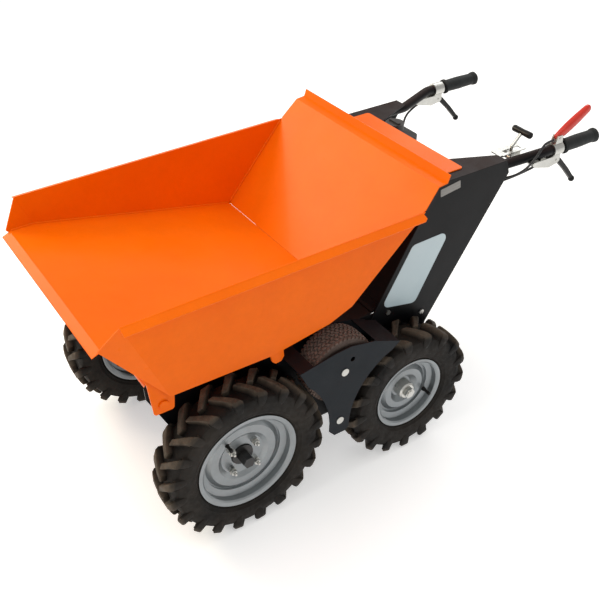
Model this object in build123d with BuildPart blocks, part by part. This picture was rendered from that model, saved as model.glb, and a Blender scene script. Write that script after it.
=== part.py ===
from build123d import *
import math
import os

os.makedirs("parts", exist_ok=True)

# ---------------------------------------------------------------- dimensions
# Millimetres. +Z up, the tub lip and the direction of travel face -Y, the
# operator stands at +Y, +X is the machine's left side. The origin is on the
# ground under the middle of the machine.

FA = -435.0            # Y of the front axle
WHEELBASE = 515.0
RA = FA + WHEELBASE    # Y of the rear axle

FRONT_R = 226.5        # lug-tip radius of the front tyres
REAR_R = 200.0         # lug-tip radius of the rear tyres
IDLER_R = 100.0        # radius of the transfer (idler) tyres
TYRE_IN, TYRE_OUT = 240.0, 344.0
FRONT_Z = FRONT_R
REAR_Z = REAR_R
CONTACT_GAP = 1.0      # free gap between an idler and each tyre at rest

# idler centre from the two tyre circles
_df = FRONT_R + IDLER_R + CONTACT_GAP
_dr = REAR_R + IDLER_R + CONTACT_GAP
_ey, _ez = WHEELBASE, REAR_Z - FRONT_Z
_d = math.hypot(_ey, _ez)
_a = (_df ** 2 - _dr ** 2 + _d ** 2) / (2 * _d)
_h = math.sqrt(_df ** 2 - _a ** 2)
IDLER_Y = FA + (_a * _ey - _h * _ez) / _d
IDLER_Z = FRONT_Z + (_a * _ez + _h * _ey) / _d
IDLER_IN, IDLER_OUT = 258.0, 334.0

FRONT_RIM_R, FRONT_SEAT_R, FRONT_WELL_R = 140.0, 128.0, 112.0
REAR_RIM_R, REAR_SEAT_R, REAR_WELL_R = 110.0, 101.0, 86.0
RIM_IN, RIM_OUT = 250.0, 334.0
FRONT_DISC_X = 296.0   # inner face of the front wheel disc
REAR_DISC_X = 300.0

SHEET = 3.0            # tub, tower and pod sheet
PLATE = 4.0            # chassis plate
CHASSIS_X = 232.0      # outer face of the chassis side plates
TOWER_X = 235.2        # outer face of the tower side plates
POD_X = 342.0          # outer face of the pod side plates

HINGE_Y, HINGE_Z = FA - 188.0, 482.0   # tub tipping axis
HINGE_R = 12.0
TUB_LEAN = 0.085       # outward lean of the tub side walls per mm of height
TUB_BASE_Z, TUB_BASE_X = 505.0, 299.0

TOWER_TOP = 770.0
TUBE_R = 14.0
GRIP_R = 19.0
HANDLE_Z = 764.0
HANDLE_X = 246.0
GRIP_END_Y = FA + 1200.0

PIVOT_Y, PIVOT_Z = FA + 1046.0, 732.0     # squeeze lever pivots
RED_Y, RED_Z = FA + 1046.0, 796.0         # red lever pivot
GEAR_X, GEAR_Y, GEAR_Z = 186.0, FA + 938.0, 762.0
LATCH_Y, LATCH_Z = FA + 334.0, 462.0
BAR_Y, BAR_Z = FA + 290.0, 508.0
ENG_Y = FA + 694.0     # crankshaft line
GBX_Y = FA + 62.0      # gearbox input shaft line
BELT_Z = 372.0
CAP_X, CAP_Y, CAP_Z = -118.0, FA + 776.0, 748.0

SIDES = (("left", 1), ("right", -1))


def wall_x(z):
    """Outer face of a tub side wall at height z."""
    return TUB_BASE_X + TUB_LEAN * (z - TUB_BASE_Z)


def save(part, name):
    part.label = name
    export_step(part, f"parts/{name}.step")


def yz(s, x0):
    """Sketch plane at |X| = x0 on side s, local x = +Y, local y = +Z."""
    return Plane(origin=(s * x0, 0, 0), x_dir=(0, 1, 0), z_dir=(1, 0, 0))


def x_axis_at(y, z):
    return Axis((0, y, z), (1, 0, 0))


# ------------------------------------------------------------------ wheels
def section(pts, s, y, z):
    """Radial profile (|x|, r) on the plane Y = y, above the axle at height z."""
    return [(s * px, z + pr) for px, pr in pts]


def ring(s, y, z, pts):
    with BuildPart() as p:
        with BuildSketch(Plane(origin=(0, y, 0), x_dir=(1, 0, 0), z_dir=(0, -1, 0))):
            with BuildLine():
                Polyline(section(pts, s, y, z), close=True)
            make_face()
        revolve(axis=x_axis_at(y, z))
    return p.part


def tyre_profile(xi, xo, seat, flange, crown):
    """A hollow tyre: two beads, bulged sidewalls and a slightly domed tread."""
    xm, hw = (xi + xo) / 2, (xo - xi) / 2
    lip = (xi + 10 - xm) / hw
    out = [(lip + 8.8 / hw, seat), (lip + 5.7 / hw, seat + 2.7), (lip + 4.2 / hw, flange - 1),
           (lip + 2.5 / hw, flange + 2), (-0.97, seat + 0.42 * (crown - seat)),
           (-1.0, seat + 0.60 * (crown - seat)), (-0.965, crown - 20),
           (-0.86, crown - 7), (-0.5, crown - 1.5), (0, crown)]
    wall = 9.0
    inn = [(lip + 8.8 / hw + wall * 1.3 / hw, seat), (-0.97 + wall / hw + 0.02, seat + 0.42 * (crown - seat)),
           (-1.0 + wall / hw + 0.03, seat + 0.60 * (crown - seat)),
           (-0.80, crown - 26), (-0.5, crown - 17), (0, crown - 15)]
    o = [(xm + a * hw, r) for a, r in out]
    o += [(2 * xm - px, r) for px, r in reversed(o[:-1])]
    i = [(xm + a * hw, r) for a, r in inn]
    i += [(2 * xm - px, r) for px, r in reversed(i[:-1])]
    return o + list(reversed(i))


def rim_profile(xi, xo, flange, seat, well, t=2.6):
    o = [(xi, flange), (xi + 3.5, flange - 1), (xi + 5, seat + 2), (xi + 8, seat - 0.4),
         (xi + 24, seat - 0.4), (xi + 30, well), (xo - 30, well), (xo - 24, seat - 0.4),
         (xo - 8, seat - 0.4), (xo - 5, seat + 2), (xo - 3.5, flange - 1), (xo, flange)]
    i = [(xo, flange - 4), (xo - 1.5, seat + 1), (xo - 5, seat - 0.4 - t), (xo - 22, seat - 0.4 - t),
         (xo - 28, well - t), (xi + 28, well - t), (xi + 22, seat - 0.4 - t),
         (xi + 5, seat - 0.4 - t), (xi + 1.5, seat + 1), (xi, flange - 4)]
    return o + i


for side, s in SIDES:
    # front tyre, rim with its dished disc, hub with its half-shaft, four bolts
    tyre = ring(s, FA, FRONT_Z, tyre_profile(TYRE_IN, TYRE_OUT, FRONT_SEAT_R, FRONT_RIM_R, FRONT_R))
    save(tyre, f"front_tyre_{side}")

    with BuildPart() as rim:
        add(ring(s, FA, FRONT_Z, rim_profile(RIM_IN, RIM_OUT, FRONT_RIM_R, FRONT_SEAT_R, FRONT_WELL_R)))
        add(ring(s, FA, FRONT_Z, [(FRONT_DISC_X, 31), (FRONT_DISC_X, 62), (FRONT_DISC_X + 8, 74),
                                  (FRONT_DISC_X + 8, 92), (FRONT_DISC_X, 104), (FRONT_DISC_X, 110.4),
                                  (FRONT_DISC_X + 4, 110.4), (FRONT_DISC_X + 4, 106), (FRONT_DISC_X + 12, 94),
                                  (FRONT_DISC_X + 12, 72), (FRONT_DISC_X + 4, 60), (FRONT_DISC_X + 4, 31)]))
        with BuildSketch(Plane(origin=(s * (FRONT_DISC_X - 2), FA, FRONT_Z), x_dir=(0, 1, 0), z_dir=(s, 0, 0))):
            with PolarLocations(48, 4, 45):
                Circle(5.2)
        extrude(amount=12, mode=Mode.SUBTRACT)
    save(rim.part, f"front_rim_{side}")

    with BuildPart() as hub:
        with BuildSketch(Plane(origin=(s * 74, FA, FRONT_Z), x_dir=(0, 1, 0), z_dir=(s, 0, 0))):
            Circle(12.5)
        extrude(amount=246)
        with BuildSketch(Plane(origin=(s * 268, FA, FRONT_Z), x_dir=(0, 1, 0), z_dir=(s, 0, 0))):
            Circle(29.5)
        extrude(amount=36)
        with BuildSketch(Plane(origin=(s * 286, FA, FRONT_Z), x_dir=(0, 1, 0), z_dir=(s, 0, 0))):
            Circle(62)
            with PolarLocations(48, 4, 45):
                Circle(5.2, mode=Mode.SUBTRACT)
        extrude(amount=9.6)
        with BuildSketch(Plane(origin=(s * 304, FA, FRONT_Z), x_dir=(0, 1, 0), z_dir=(s, 0, 0))):
            RegularPolygon(17, 6)
        extrude(amount=34)
        with BuildSketch(Plane(origin=(s * 276, FA, FRONT_Z), x_dir=(0, 1, 0), z_dir=(s, 0, 0))):
            with PolarLocations(48, 4, 45):
                Circle(5.0)
        extrude(amount=FRONT_DISC_X + 4 - 276)
        with BuildSketch(Plane(origin=(s * (FRONT_DISC_X + 4.1), FA, FRONT_Z), x_dir=(0, 1, 0), z_dir=(s, 0, 0))):
            with PolarLocations(48, 4, 45):
                RegularPolygon(9.5, 6)
        extrude(amount=8)
        with BuildSketch(Plane(origin=(s * (FRONT_DISC_X + 3.9), FA, FRONT_Z), x_dir=(0, 1, 0), z_dir=(s, 0, 0))):
            with PolarLocations(48, 4, 45):
                Circle(5.0)
        extrude(amount=1)
    save(hub.part, f"front_hub_{side}")

    # rear tyre, rim, bearing hub
    tyre = ring(s, RA, REAR_Z, tyre_profile(TYRE_IN, TYRE_OUT, REAR_SEAT_R, REAR_RIM_R, REAR_R))
    save(tyre, f"rear_tyre_{side}")

    with BuildPart() as rim:
        add(ring(s, RA, REAR_Z, rim_profile(RIM_IN, RIM_OUT, REAR_RIM_R, REAR_SEAT_R, REAR_WELL_R)))
        add(ring(s, RA, REAR_Z, [(REAR_DISC_X - 8, 25), (REAR_DISC_X - 8, 34), (REAR_DISC_X + 6, 48),
                                 (REAR_DISC_X + 6, 62), (REAR_DISC_X - 4, 74), (REAR_DISC_X - 4, 84.4),
                                 (REAR_DISC_X, 84.4), (REAR_DISC_X, 76), (REAR_DISC_X + 10, 64),
                                 (REAR_DISC_X + 10, 46), (REAR_DISC_X - 4, 32), (REAR_DISC_X - 4, 25)]))
    save(rim.part, f"rear_rim_{side}")

    hub = ring(s, RA, REAR_Z, [(248, 10.05), (248, 24.9), (284, 24.9), (284, 33), (291.9, 33), (291.9, 24.9),
                               (322, 24.9), (326, 21), (326, 10.05)])
    save(hub, f"rear_hub_{side}")

    # transfer wheel: turf tyre and its pressed hub
    tyre = ring(s, IDLER_Y, IDLER_Z, [(IDLER_IN + 10.4, 52), (IDLER_IN + 9.4, 57), (IDLER_IN + 4, 64), (IDLER_IN, 76), (IDLER_IN + 2, 88),
                                      (IDLER_IN + 9, 96), (IDLER_IN + 22, 99.2), ((IDLER_IN + IDLER_OUT) / 2, IDLER_R),
                                      (IDLER_OUT - 22, 99.2), (IDLER_OUT - 9, 96), (IDLER_OUT - 2, 88),
                                      (IDLER_OUT, 76), (IDLER_OUT - 4, 64), (IDLER_OUT - 9.4, 57), (IDLER_OUT - 10.4, 52),
                                      (IDLER_OUT - 18, 52), (IDLER_OUT - 12, 76), (IDLER_OUT - 18, 86),
                                      (IDLER_IN + 18, 86), (IDLER_IN + 12, 76), (IDLER_IN + 18, 52)])
    save(tyre, f"idler_tyre_{side}")
    hub = ring(s, IDLER_Y, IDLER_Z, [(IDLER_IN - 4, 10.05), (IDLER_IN - 4, 17), (IDLER_IN + 30, 17), (IDLER_IN + 30, 46),
                                     (IDLER_IN + 8, 49), (IDLER_IN + 6, 56), (IDLER_IN + 9, 56), (IDLER_IN + 10, 51.8),
                                     (IDLER_OUT - 10, 51.8), (IDLER_OUT - 9, 56), (IDLER_OUT - 6, 56), (IDLER_OUT - 8, 49),
                                     (IDLER_OUT - 30, 46), (IDLER_OUT - 30, 17), (IDLER_OUT, 17), (IDLER_OUT, 10.05)])
    save(hub, f"idler_hub_{side}")

# ------------------------------------------------------------------ chassis
chassis_profile = [(FA - 206, 458), (FA - 150, 336), (FA - 108, 190), (FA - 60, 158), (FA + 575, 148),
                   (FA + 640, 329), (FA + 655, 398), (FA + 430, 440), (FA - 120, 440), (FA - 168, 496),
                   (FA - 178, 504), (FA - 198, 504), (FA - 208, 494)]
with BuildPart() as chassis_side:
    for side, s in SIDES:
        with BuildSketch(yz(s, CHASSIS_X)):
            with BuildLine():
                Polyline([(p[0], p[1]) for p in chassis_profile], close=True)
            make_face()
            with Locations((HINGE_Y, HINGE_Z)):
                Circle(HINGE_R + 0.05, mode=Mode.SUBTRACT)
            with Locations((FA, FRONT_Z)):
                Circle(27, mode=Mode.SUBTRACT)
            with Locations((RA, REAR_Z)):
                Circle(16, mode=Mode.SUBTRACT)
        extrude(amount=-s * PLATE)
save(chassis_side.part, "chassis_side_plates")

inner = CHASSIS_X - PLATE
with BuildPart() as chassis_deck:
    # top deck with turned-down front edge
    with BuildSketch(Plane.XY.offset(436)):
        with Locations((0, FA + 170)):
            Rectangle(2 * inner, 580)
    extrude(amount=PLATE)
    with BuildSketch(Plane.XY.offset(340)):
        with Locations((0, FA - 118)):
            Rectangle(2 * inner, PLATE)
    extrude(amount=96)
save(chassis_deck.part, "chassis_deck")

with BuildPart() as cross_members:
    # two cross channels and the engine mounting plate
    with BuildSketch(Plane.XY.offset(160)):
        with Locations((0, FA + 150), (0, FA + 470)):
            Rectangle(2 * inner, 50)
    extrude(amount=40)
    with BuildSketch(Plane.XY.offset(394)):
        with BuildLine():
            Polyline([(-inner, ENG_Y - 164), (inner, ENG_Y - 164), (inner, ENG_Y - 34), (112, ENG_Y + 72), (-112, ENG_Y + 72),
                      (-inner, ENG_Y - 34)], close=True)
        make_face()
        with Locations((0, ENG_Y)):
            Circle(32, mode=Mode.SUBTRACT)
    extrude(amount=4)
    for y in (FA - 48, FA + 88):
        with BuildSketch(Plane.XY.offset(150)):
            with Locations((0, y)):
                Rectangle(2 * inner, 26)
        extrude(amount=9.8)
save(cross_members.part, "chassis_cross_members")

with BuildPart() as rear_stubs:
    # plain stub axles with their weld collars and end nuts
    for s in (1, -1):
        with BuildSketch(Plane(origin=(s * 216, RA, REAR_Z), x_dir=(0, 1, 0), z_dir=(s, 0, 0))):
            Circle(10)
        extrude(amount=124)
        with BuildSketch(Plane(origin=(s * 218, RA, REAR_Z), x_dir=(0, 1, 0), z_dir=(s, 0, 0))):
            Circle(15.9)
        extrude(amount=22)
        with BuildSketch(Plane(origin=(s * 326.5, RA, REAR_Z), x_dir=(0, 1, 0), z_dir=(s, 0, 0))):
            RegularPolygon(16, 6)
        extrude(amount=11)
    for s in (1, -1):
        with BuildSketch(Plane(origin=(s * 233, IDLER_Y, IDLER_Z), x_dir=(0, 1, 0), z_dir=(s, 0, 0))):
            Circle(8)
        extrude(amount=108.9)
        with BuildSketch(Plane(origin=(s * 235.6, IDLER_Y, IDLER_Z), x_dir=(0, 1, 0), z_dir=(s, 0, 0))):
            Circle(10)
        extrude(amount=103.2)
save(rear_stubs.part, "stub_axles")

with BuildPart() as bearings:
    # flanged bearing housings of the front half-shafts
    for s in (1, -1):
        with BuildSketch(Plane(origin=(s * 204, FA, FRONT_Z), x_dir=(0, 1, 0), z_dir=(s, 0, 0))):
            Circle(26.8)
            Circle(12.55, mode=Mode.SUBTRACT)
        extrude(amount=40)
        with BuildSketch(Plane(origin=(s * CHASSIS_X, FA, FRONT_Z), x_dir=(0, 1, 0), z_dir=(s, 0, 0))):
            RectangleRounded(86, 86, 16)
            Circle(12.55, mode=Mode.SUBTRACT)
        extrude(amount=6)
save(bearings.part, "front_bearings")

with BuildPart() as hinge_shaft:
    with BuildSketch(Plane(origin=(-294, HINGE_Y, HINGE_Z), x_dir=(0, 1, 0), z_dir=(1, 0, 0))):
        Circle(HINGE_R)
    extrude(amount=588)
save(hinge_shaft.part, "tub_hinge_shaft")

# ------------------------------------------------------------------ pods
pod_top = [(FA + 148, 446), (FA + 252, 464), (FA + 300, 467), (FA + 376, 451), (FA + 458, 416)]


def arc_pts(cy, cz, r, a0, a1, n):
    return [(cy + r * math.cos(math.radians(a0 + (a1 - a0) * i / n)),
             cz + r * math.sin(math.radians(a0 + (a1 - a0) * i / n))) for i in range(n + 1)]


pod_rear_edge = arc_pts(RA, REAR_Z, REAR_R + 14, 112, 181, 9)
pod_front_edge = arc_pts(FA, FRONT_Z, FRONT_R + 14, -5, 44, 7)
pod_outline = pod_top + pod_rear_edge + [(FA + 290, 186), (FA + 256, 186)] + pod_front_edge

with BuildPart() as pod:
    for side, s in SIDES:
        with BuildSketch(yz(s, POD_X)):
            with BuildLine():
                Polyline(pod_outline, close=True)
            make_face()
            with Locations((IDLER_Y, IDLER_Z)):
                Circle(8.1, mode=Mode.SUBTRACT)
            with Locations((FA + 306, 424)):
                Circle(7, mode=Mode.SUBTRACT)
        extrude(amount=-s * SHEET)
        # decks in front of and behind the idler slot
        with BuildSketch(yz(s, 235.4)):
            with BuildLine():
                Polyline([(FA + 148, 446), (FA + 188, 453), (FA + 188, 450), (FA + 148, 443)], close=True)
            make_face()
            with BuildLine():
                Polyline([(FA + 378, 450), (FA + 458, 416), (FA + 458, 413), (FA + 378, 447)], close=True)
            make_face()
        extrude(amount=s * (POD_X - 235.4 - SHEET + 0.5))
        # inner cheek bolted to the chassis
        with BuildSketch(yz(s, CHASSIS_X)):
            with BuildLine():
                Polyline([(FA + 148, 446), (FA + 252, 464), (FA + 300, 467), (FA + 376, 451), (FA + 424, 430.5),
                          (FA + 424, 350), (FA + 330, 350), (FA + 250, 350), (FA + 148, 400)], close=True)
            make_face()
            with Locations((IDLER_Y, IDLER_Z)):
                Circle(8.1, mode=Mode.SUBTRACT)
        extrude(amount=s * 3.6)
save(pod.part, "idler_pods")

# ------------------------------------------------------------------ tower
tower_profile = [(FA + 430, 400), (FA + 470, 392), (FA + 636, 334), (FA + 888, 731), (FA + 876, TOWER_TOP),
                 (FA + 640, TOWER_TOP)]
with BuildPart() as tower:
    for side, s in SIDES:
        with BuildSketch(yz(s, TOWER_X)):
            with BuildLine():
                Polyline(tower_profile, close=True)
            make_face()
        extrude(amount=-s * (TOWER_X - CHASSIS_X))
        # inward top flange that tapers to the handle
        with BuildSketch(Plane.XY.offset(TOWER_TOP - SHEET)):
            with BuildLine():
                Polyline([(s * CHASSIS_X, FA + 642), (s * 140, FA + 642), (s * 140, FA + 748), (s * 196, FA + 876),
                          (s * CHASSIS_X, FA + 876)], close=True)
            make_face()
        extrude(amount=SHEET)
save(tower.part, "tower_side_plates")

with BuildPart() as tower_front:
    with BuildSketch(yz(1, -231)):
        with BuildLine():
            Polyline([(FA + 463, 446), (FA + 645, 766.8), (FA + 648.5, 765), (FA + 466.5, 444.4)], close=True)
        make_face()
    extrude(amount=462)
save(tower_front.part, "tower_front_panel")

with BuildPart() as top_cover:
    with BuildSketch(Plane.XY.offset(TOWER_TOP + 0.2)):
        with Locations((0, FA + 692)):
            RectangleRounded(408, 110, 8)
    extrude(amount=3)
    with BuildSketch(Plane.XY.offset(TOWER_TOP - 22)):
        with Locations((0, FA + 700)):
            Rectangle(270, 90)
            Rectangle(264, 84, mode=Mode.SUBTRACT)
    extrude(amount=22.2)
save(top_cover.part, "tower_top_cover")

with BuildPart() as decals:
    with BuildSketch(yz(1, TOWER_X)):
        with Locations(Location((FA + 680, 745), 8)):
            RectangleRounded(66, 22, 2)
    extrude(amount=0.8)
    for s in (1, -1):
        with BuildSketch(yz(s, TOWER_X)):
            with BuildLine():
                FilletPolyline([(FA + 476, 446), (FA + 569, 612), (FA + 694, 616), (FA + 592, 420)],
                               radius=[18, 18, 18, 18], close=True)
            make_face()
        extrude(amount=s * 0.8)
save(decals.part, "side_decals")

# ------------------------------------------------------------------ tub
N1 = (FA - 172, 505)
side_wall = [(FA - 274, 756), N1, (FA + 100, 500), (FA + 262, 528), (FA + 326, 556), (FA + 523, 768)]
WING = (288.0, FA - 318, 690.0)     # lower front corner of each side wall, folded inwards
lean_n = Vector(1, 0, -TUB_LEAN).normalized()
lean_up = Vector(TUB_LEAN, 0, 1).normalized()


def lean_plane(s):
    return Plane(origin=(s * TUB_BASE_X, 0, TUB_BASE_Z), x_dir=(0, 1, 0), z_dir=(s * lean_n.X, 0, lean_n.Z)) if s > 0 else \
        Plane(origin=(s * TUB_BASE_X, 0, TUB_BASE_Z), x_dir=(0, 1, 0), z_dir=(lean_n.X, 0, -lean_n.Z))


k = math.hypot(1, TUB_LEAN)
with BuildPart() as wall:
    for side, s in SIDES:
        with BuildSketch(lean_plane(s)):
            with BuildLine():
                Polyline([(y, (z - TUB_BASE_Z) * k) for y, z in side_wall], close=True)
            make_face()
        extrude(amount=-s * SHEET)
        # front corner of the wall, folded inwards towards the lip
        a, b, c = (Vector(s * wall_x(756), FA - 274, 756), Vector(s * WING[0], WING[1], WING[2]), Vector(s * wall_x(505), N1[0], N1[1]))
        wing = Face(Wire.make_polygon([a, b, c], close=True))
        nn = (b - a).cross(c - a).normalized()
        nn = nn if nn.X * s < 0 else -nn
        add(extrude(wing, amount=SHEET, dir=nn, mode=Mode.PRIVATE))
        # outward flange along the top edge
        xo = wall_x(756)
        with BuildSketch(Plane(origin=(s * (xo - 2.9), FA - 274, 753.4), x_dir=(0.0, 1, 0.0153),
                               z_dir=(s * 0.36, -0.0143, 0.933))):
            with BuildLine():
                Polyline([(0, 0), (0, -s * 25), (782, -s * 26), (790, -s * 20), (790, 0)], close=True)
            make_face()
        extrude(amount=3.0)
save(wall.part, "tub_side_walls")

B = (FA - 309, 687.0)      # lip fold
V = (FA + 325, 560.0)      # floor and rear wall fold
D = (FA + 567, 820.0)      # rear wall top fold
with BuildPart() as floor:
    # sloped load floor from the rear fold up to the folded pouring lip
    w1, wm, w0 = 286.2, wall_x(673.3) - 4.2, wall_x(560) - 3.6
    dv = Vector(0, V[0] - B[0], V[1] - B[1])
    ln = dv.length
    with BuildSketch(Plane(origin=(0, B[0], B[1]), x_dir=(1, 0, 0), z_dir=(0, -dv.Z / ln, dv.Y / ln))):
        with BuildLine():
            Polyline([(-w1, 0), (w1, 0), (wm, 70), (w0, ln), (-w0, ln), (-wm, 70)], close=True)
        make_face()
    extrude(amount=-SHEET)
    with BuildSketch(yz(1, -283.4)):
        with BuildLine():
            Polyline([(B[0] + 0.5, B[1]), (FA - 328.5, 678), (FA - 330, 675.2), (B[0], B[1] - 3.1)], close=True)
        make_face()
    extrude(amount=566.8)
save(floor.part, "tub_floor")

with BuildPart() as rear_wall:
    rv = Vector(0, D[0] - V[0], D[1] - V[1])
    rl = rv.length
    n = Vector(0, rv.Z / rl, -rv.Y / rl)
    with BuildSketch(Plane(origin=(0, V[0] + 0.3, V[1] + 0.3), x_dir=(-1, 0, 0), z_dir=(0, n.Y, n.Z))):
        wC = wall_x(765) - 3.6
        with BuildLine():
            Polyline([(-(wall_x(560) - 3.8), 0), (wall_x(560) - 3.8, 0), (wC, rl * 0.803), (wC + 2, rl * 0.815),
                      (wC - 6, rl), (-(wC - 6), rl), (-(wC + 2), rl * 0.815), (-wC, rl * 0.803)], close=True)
        make_face()
    extrude(amount=SHEET)
    # double-folded top flange
    with BuildSketch(yz(1, -(wC - 6))):
        with BuildLine():
            Polyline([(D[0], D[1]), (D[0] + 26, D[1] + 3), (D[0] + 33, D[1] + 22), (D[0] + 35.8, D[1] + 21),
                      (D[0] + 28, D[1] - 0.2), (D[0] + 2, D[1] - 3.2)], close=True)
        make_face()
    extrude(amount=2 * (wC - 6))
save(rear_wall.part, "tub_rear_wall")


def under(y, drop=3.4):
    """Height just below the load floor at y."""
    return B[1] + (y - B[0]) * (V[1] - B[1]) / (V[0] - B[0]) - drop


with BuildPart() as ribs:
    # outer ribs that follow the nose and carry the hinge eyes
    for s in (1, -1):
        with BuildSketch(yz(s, 290)):
            with BuildLine():
                Polyline([(FA - 268, under(FA - 268)), (FA - 222, 552), (FA - 213, 462), (FA - 209, 458),
                          (FA - 166, 458), (FA - 162, 462), (FA - 158, 506), (FA + 96, 503), (FA + 258, 530),
                          (FA + 300, under(FA + 300))], close=True)
            make_face()
            with Locations((HINGE_Y, HINGE_Z)):
                Circle(HINGE_R + 0.05, mode=Mode.SUBTRACT)
        extrude(amount=-s * 5)
    # two cross channels under the load floor
    for yc, zb in ((FA - 60, 590.0), (FA + 262, 528.0)):
        with BuildSketch(yz(1, -284.8)):
            with BuildLine():
                Polyline([(yc - 20, under(yc - 20)), (yc - 20, zb), (yc + 20, zb), (yc + 20, under(yc + 20))], close=True)
            make_face()
            with BuildLine():
                Polyline([(yc - 17, under(yc - 20) + 5), (yc - 17, zb + 3), (yc + 17, zb + 3), (yc + 17, under(yc + 20) + 5)], close=True)
            make_face(mode=Mode.SUBTRACT)
        extrude(amount=569.6)
    # rest tabs under the side walls
    for s in (1, -1):
        with BuildSketch(yz(s, 295.3)):
            with BuildLine():
                Polyline([(FA + 92, 510), (FA + 98, 478), (FA + 108, 468), (FA + 124, 470), (FA + 132, 482), (FA + 130, 510)], close=True)
            make_face()
        extrude(amount=-s * 5)
save(ribs.part, "tub_ribs")

with BuildPart() as striker:
    # latch bar under the floor, on two ears
    for x in (-30, 26):
        with BuildSketch(yz(1, x)):
            with BuildLine():
                Polyline([(BAR_Y - 8, BAR_Z - 8), (BAR_Y + 8, BAR_Z - 8), (BAR_Y + 8, 527.6), (BAR_Y + 8, under(BAR_Y + 8)),
                          (BAR_Y - 7.6, under(BAR_Y - 7.6))], close=True)
            make_face()
        extrude(amount=4)
    with BuildSketch(yz(1, -26)):
        with Locations((BAR_Y, BAR_Z)):
            Circle(5)
    extrude(amount=52)
save(striker.part, "tub_latch_bar")

# ------------------------------------------------------------------ tub latch
with BuildPart() as latch_ears:
    for x in (-12, 8):
        with BuildSketch(yz(1, x)):
            with BuildLine():
                Polyline([(LATCH_Y - 14, 440), (LATCH_Y + 14, 440), (LATCH_Y + 9, LATCH_Z + 9), (LATCH_Y - 9, LATCH_Z + 9)], close=True)
            make_face()
            with Locations((LATCH_Y, LATCH_Z)):
                Circle(4.05, mode=Mode.SUBTRACT)
        extrude(amount=4)
    with BuildSketch(yz(1, -14)):
        with Locations((LATCH_Y, LATCH_Z)):
            Circle(4)
    extrude(amount=28)
save(latch_ears.part, "latch_bracket")

with BuildPart() as latch:
    with BuildSketch(yz(1, -4)):
        with BuildLine():
            Polyline([(LATCH_Y - 9, LATCH_Z - 8), (LATCH_Y + 9, LATCH_Z - 8), (LATCH_Y + 11, LATCH_Z + 8), (LATCH_Y - 10, BAR_Z + 20),
                      (BAR_Y + 14, BAR_Z + 18), (BAR_Y + 7, BAR_Z + 9), (BAR_Y + 7, BAR_Z + 4), (BAR_Y + 18, BAR_Z - 4),
                      (LATCH_Y - 11, LATCH_Z + 10)], close=True)
        make_face()
        with Locations((LATCH_Y, LATCH_Z)):
            Circle(4.05, mode=Mode.SUBTRACT)
    extrude(amount=8)
save(latch.part, "tub_latch_hook")

with BuildPart() as buffers:
    with BuildSketch(Plane.XY.offset(440)):
        with Locations((150, FA + 262), (-150, FA + 262)):
            Circle(20)
    extrude(amount=87.6, taper=4)
save(buffers.part, "tub_rubber_buffers")

# ------------------------------------------------------------------ handles
with BuildPart() as bar:
    for side, s in SIDES:
        with BuildLine() as path:
            FilletPolyline((s * 217.9, FA + 738, 748), (s * 217.9, FA + 892, 748), (s * HANDLE_X, FA + 1004, HANDLE_Z),
                           (s * HANDLE_X, FA + 1188, HANDLE_Z), radius=70)
        with BuildSketch(Plane(origin=(s * 217.9, FA + 738, 748), x_dir=(1, 0, 0), z_dir=(0, 1, 0))):
            Circle(TUBE_R)
            Circle(TUBE_R - 2, mode=Mode.SUBTRACT)
        sweep()
save(bar.part, "handlebars")

with BuildPart() as grip:
    for side, s in SIDES:
        with BuildSketch(Plane(origin=(s * HANDLE_X, FA + 1068, HANDLE_Z), x_dir=(0, 1, 0), z_dir=(1, 0, 0))):
            with BuildLine():
                Polyline([(0, 14.02), (0, 19), (3, 22), (7, 22), (10, 18), (60, 19), (112, 17.5), (120, 20), (127, 20.5),
                          (132, 16), (132, 0), (121, 0), (121, 14.02)], close=True)
            make_face()
        revolve(axis=Axis((s * HANDLE_X, FA + 1068, HANDLE_Z), (0, 1, 0)))
save(grip.part, "grips")

with BuildPart() as clamps:
    # zinc lever brackets: a collar round each tube with cheeks below it
    for s in (1, -1):
        with BuildSketch(Plane(origin=(s * HANDLE_X, FA + 1026, HANDLE_Z), x_dir=(1, 0, 0), z_dir=(0, 1, 0))):
            Circle(18.5)
            Circle(14.02, mode=Mode.SUBTRACT)
        extrude(amount=34)
        for dx in (-9.6, 5.6):
            with BuildSketch(yz(1, s * HANDLE_X + dx)):
                with BuildLine():
                    Polyline([(FA + 1000, 740), (FA + 1028, 750), (FA + 1058, 750), (FA + 1058, 728), (FA + 1050, 721),
                              (FA + 1036, 721), (FA + 1000, 732)], close=True)
                make_face()
                with Locations((PIVOT_Y, PIVOT_Z)):
                    Circle(3.05, mode=Mode.SUBTRACT)
            extrude(amount=4)
        with BuildSketch(yz(1, s * HANDLE_X - 11)):
            with Locations((PIVOT_Y, PIVOT_Z)):
                Circle(3)
        extrude(amount=22)
    # small saddle on the left handle that carries the red lever
    for dx in (-9.6, 5.6):
        with BuildSketch(yz(1, HANDLE_X + dx)):
            with BuildLine():
                Polyline([(FA + 1030, 781.7), (FA + 1058, 781.7), (FA + 1055, 804), (FA + 1037, 804)], close=True)
            make_face()
            with Locations((RED_Y, RED_Z)):
                Circle(3.05, mode=Mode.SUBTRACT)
        extrude(amount=4)
    with BuildSketch(yz(1, HANDLE_X - 11)):
        with Locations((RED_Y, RED_Z)):
            Circle(3)
    extrude(amount=22)
save(clamps.part, "lever_brackets")

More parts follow.
